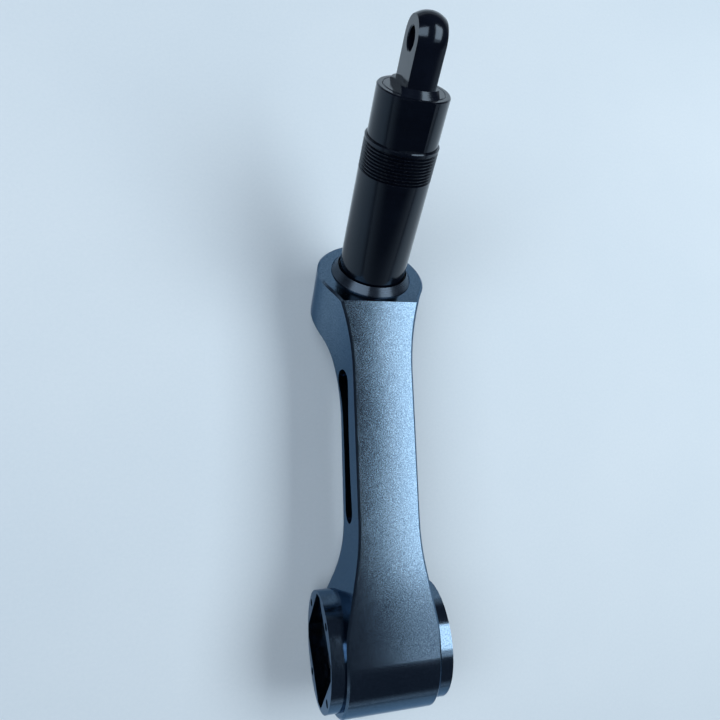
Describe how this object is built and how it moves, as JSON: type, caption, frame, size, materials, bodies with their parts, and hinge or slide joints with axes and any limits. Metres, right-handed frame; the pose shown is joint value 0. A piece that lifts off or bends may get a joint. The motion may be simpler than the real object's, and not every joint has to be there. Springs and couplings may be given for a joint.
{
  "type": "gate opener arm",
  "caption": "Waisted metal arm with a flanged square-socket hub at one end and a sloping threaded strut, ending in an eye, held in its head at the other.",
  "frame": {"origin": "centre of the hub's drive bore, midway between the two flange faces", "axes": "+X along the hub axis; +Y from the hub to the head, along the surface the arm lies on; +Z away from that surface"},
  "size_m": [0.0784, 0.4026, 0.1774],
  "materials": {
    "arm_anodised": "fine bead-blasted, dark anodised, satin",
    "gland_anodised": "turned, dark anodised, glossy",
    "tube_black": "ground and black coated, glossy",
    "eye_black": "turned and milled, black coated, semi-gloss",
    "insert_steel": "machined",
    "plate_black": "black oxide",
    "screw_steel": "black oxide",
    "bush_bronze": "turned bronze",
    "seal_rubber": "moulded",
    "washer_polymer": "turned polymer",
    "bump_polymer": "cast polyurethane"
  },
  "bodies": {
    "arm": {"arm_body": "arm_anodised", "gland_ring": "gland_anodised", "wiper_seal": "seal_rubber", "gland_o_ring": "seal_rubber", "guide_bush": "bush_bronze", "thrust_washer": "washer_polymer", "base_washer": "washer_polymer", "drive_insert": "insert_steel", "insert_plate_left": "plate_black", "insert_plate_right": "plate_black", "plate_screws": "screw_steel"},
    "strut": {"strut_tube": "tube_black", "foot_ring": "bush_bronze", "foot_plug": "tube_black", "plug_o_ring": "seal_rubber", "mouth_o_ring": "seal_rubber", "stem_guide": "bush_bronze", "guide_circlips": "screw_steel", "bump_washer": "bump_polymer"},
    "plunger": {"eye_plunger": "eye_black", "plunger_stem": "insert_steel", "seat_washer": "screw_steel", "buffer_ring": "bump_polymer", "stem_nut": "screw_steel"}
  },
  "joints": [
    {"name": "strut_swivel", "type": "hinge", "parent": "arm", "child": "strut", "pos_m": [0, 0.2482, 0.012], "axis": [0, 0.6691, 0.7431], "continuous": true},
    {"name": "plunger_slide", "type": "slide", "parent": "strut", "child": "plunger", "axis": [0, 0.6691, 0.7431], "range_m": [0, 0.022]}
  ]
}
